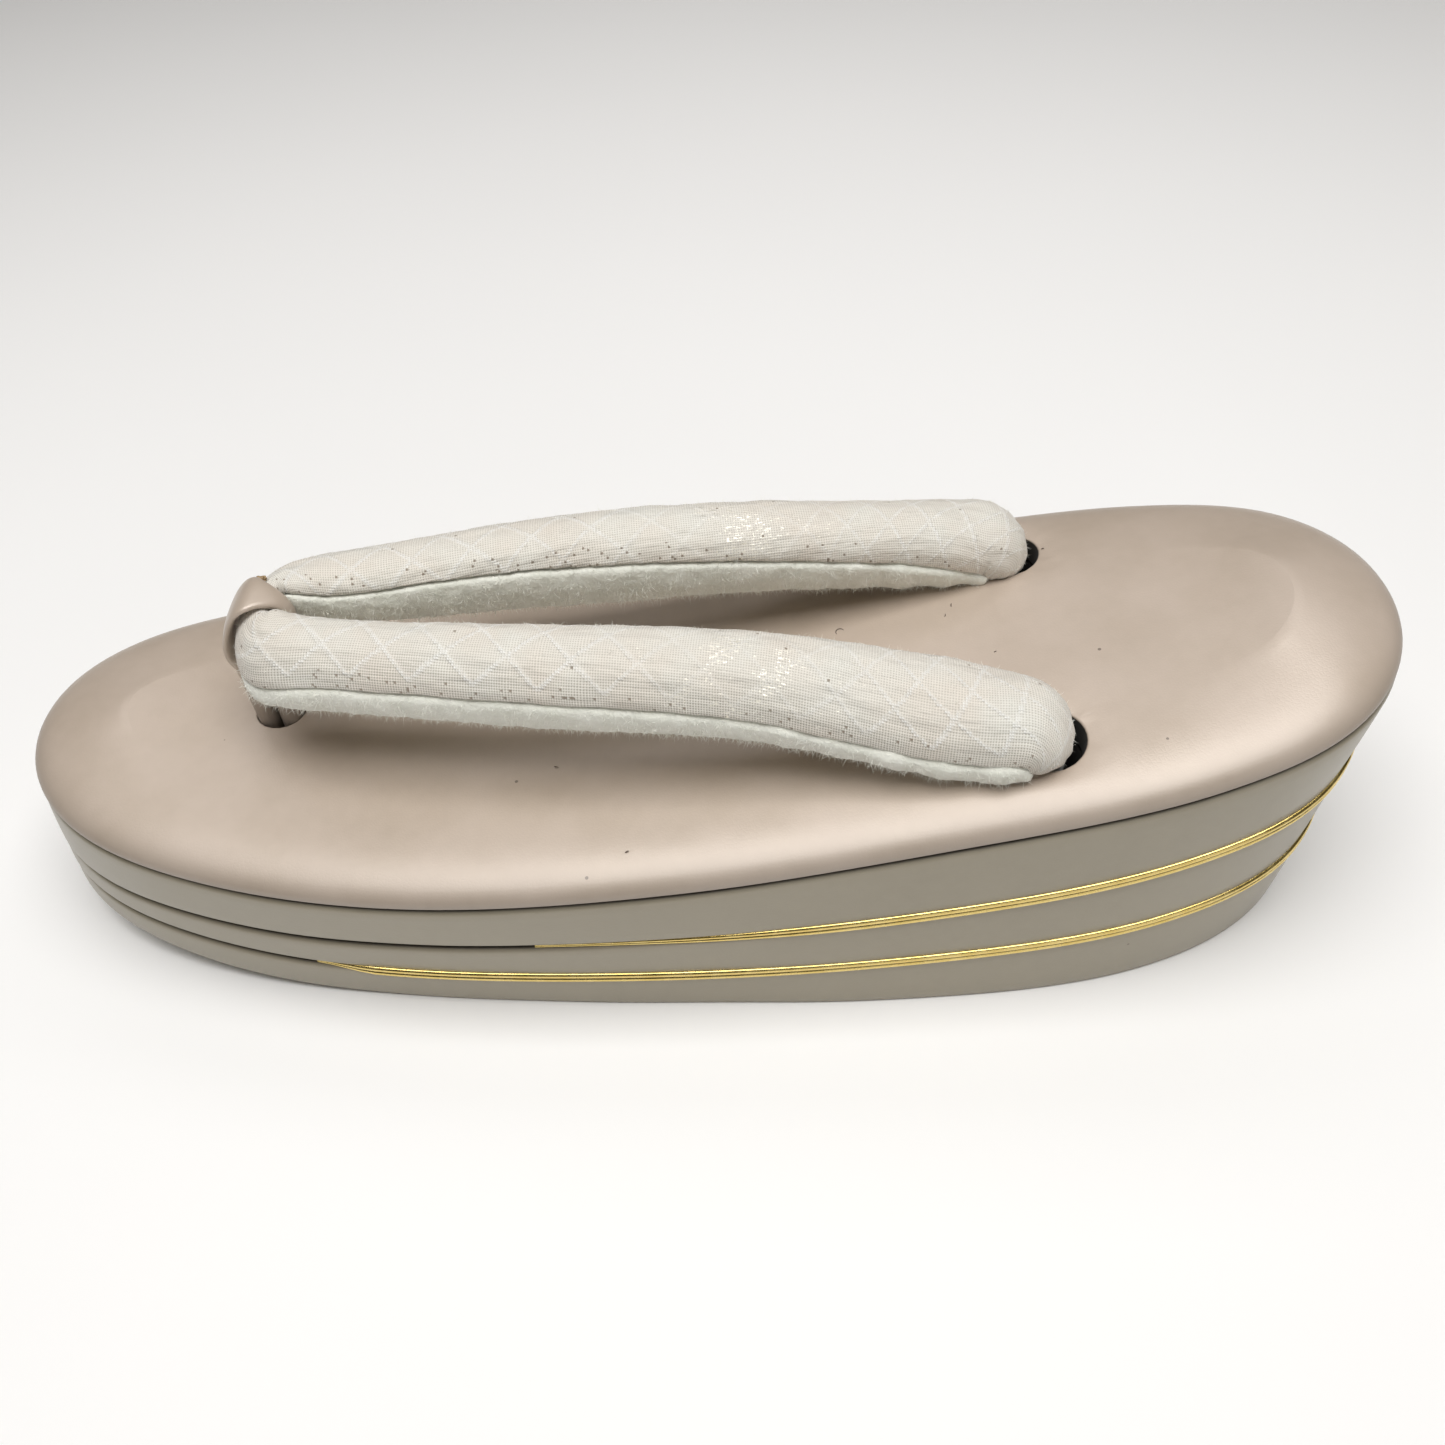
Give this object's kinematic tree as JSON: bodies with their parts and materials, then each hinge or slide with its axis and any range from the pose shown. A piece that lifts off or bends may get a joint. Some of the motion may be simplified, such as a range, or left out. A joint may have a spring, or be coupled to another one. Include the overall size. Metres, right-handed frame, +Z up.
{
  "type": "zori sandal",
  "caption": "Japanese thong sandal with a padded leather top, a layered wedge sole and padded brocade straps lined with fleece.",
  "frame": {"origin": "on the floor under the middle of the sandal's length and width", "axes": "+X from toe to heel, +Y across, +Z up; the picture was taken from the -Y side"},
  "size_m": [0.2442, 0.0836, 0.0686],
  "materials": {
    "pearl_leather": "smooth pearly satin",
    "side_leather": "smooth satin",
    "gold_cord": "metallic thread",
    "brocade": "woven, with a fine metallic thread",
    "fleece": "short fuzzy pile"
  },
  "bodies": {
    "root": {"top_pad": "pearl_leather", "sole_layer_upper": "side_leather", "sole_layer_middle": "side_leather", "sole_layer_lower": "side_leather", "gold_piping_upper": "gold_cord", "gold_piping_lower": "gold_cord", "strap_upper": "brocade", "strap_lining": "fleece", "toe_post": "pearl_leather"}
  },
  "joints": []
}
